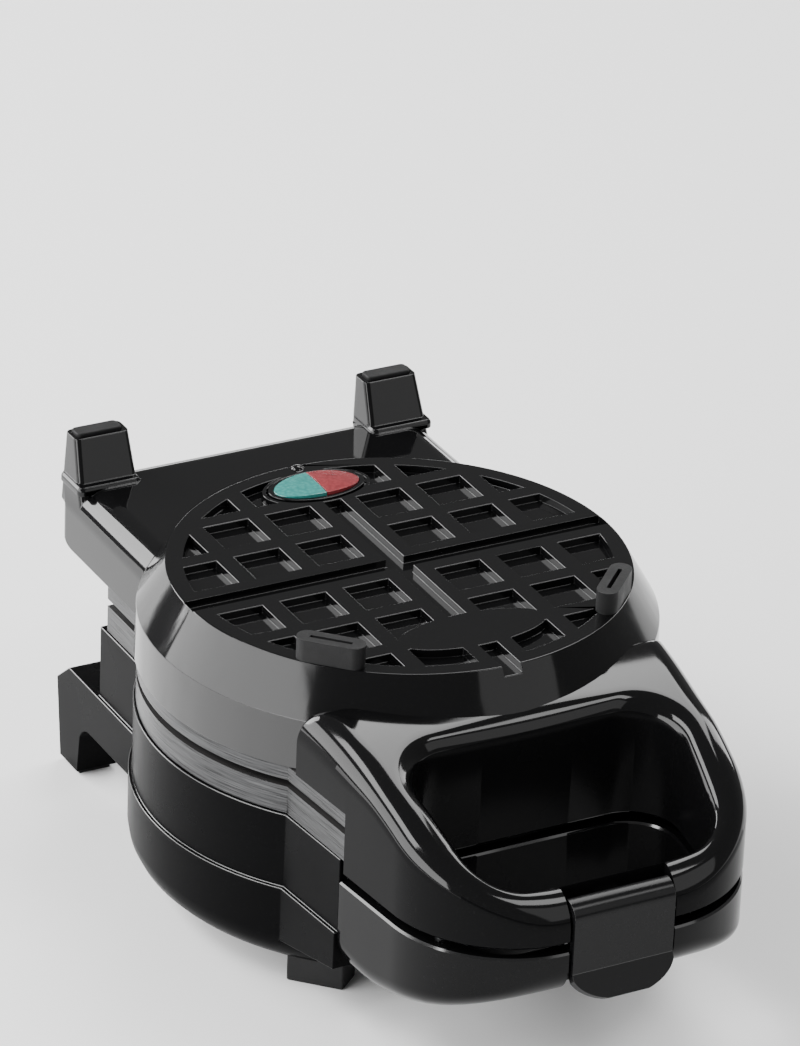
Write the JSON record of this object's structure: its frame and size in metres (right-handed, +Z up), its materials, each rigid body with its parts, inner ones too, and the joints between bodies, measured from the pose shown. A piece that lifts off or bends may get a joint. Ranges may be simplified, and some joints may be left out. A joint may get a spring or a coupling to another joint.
{
  "type": "donut maker",
  "caption": "Closed clamshell countertop maker with a round waffle-relief lid, looped two-part handle and front latch.",
  "frame": {"origin": "middle of the bounding box, on the table under the feet", "axes": "+Z up; +Y towards the hinge, -Y towards the handle and latch; +X to the right seen from the handle"},
  "size_m": [0.1994, 0.3192, 0.1412],
  "materials": {
    "black_gloss": "glossy",
    "black_satin": "satin",
    "inner_black": "matt",
    "rubber": "matt",
    "green_lens": "glossy",
    "red_lens": "glossy",
    "plate_metal": "brushed rim, dark coating inside",
    "bright_sheet": "bright sheet",
    "heater_sheath": "dark oxide",
    "steel": "zinc plated",
    "ceramic": "matt",
    "lamp_glow": "glossy"
  },
  "bodies": {
    "lid": {"lid_cover": "black_gloss", "lid_handle": "black_gloss", "lid_handle_plate": "inner_black", "lid_handle_screws": "steel", "lid_hinge_plate": "inner_black", "lid_hinge_screws": "steel", "lug_pads": "rubber", "lid_feet": "rubber", "lamp_bezel": "black_satin", "green_lens": "green_lens", "red_lens": "red_lens", "lamp_holder": "ceramic", "signal_lamps": "lamp_glow", "upper_plate": "plate_metal", "upper_heater": "heater_sheath", "upper_reflector": "bright_sheet", "upper_plate_screws": "steel", "thermostat": "ceramic", "thermal_fuse": "ceramic", "latch_pin": "steel", "latch_spring": "steel"},
    "latch": {"latch": "black_satin"},
    "base": {"base_housing": "black_satin", "base_handle": "black_satin", "base_handle_plate": "inner_black", "base_handle_screws": "steel", "bottom_cover": "inner_black", "bottom_screws": "steel", "front_feet": "rubber", "rear_feet": "rubber", "lower_plate": "plate_metal", "lower_heater": "heater_sheath", "lower_reflector": "bright_sheet", "lower_plate_screws": "steel", "hinge_pins": "steel", "terminal_block": "ceramic", "cord_gland": "rubber"}
  },
  "joints": [
    {"name": "lid_hinge", "type": "hinge", "parent": "base", "child": "lid", "pos_m": [0, 0.1356, 0.075], "axis": [-1, 0, 0], "range_deg": [0, 105]},
    {"name": "latch_pivot", "type": "hinge", "parent": "lid", "child": "latch", "pos_m": [0, -0.1478, 0.0779], "axis": [-1, 0, 0], "range_deg": [0, 32], "stiffness_Nm_per_rad": 0.02, "springref_deg": -20.05}
  ]
}
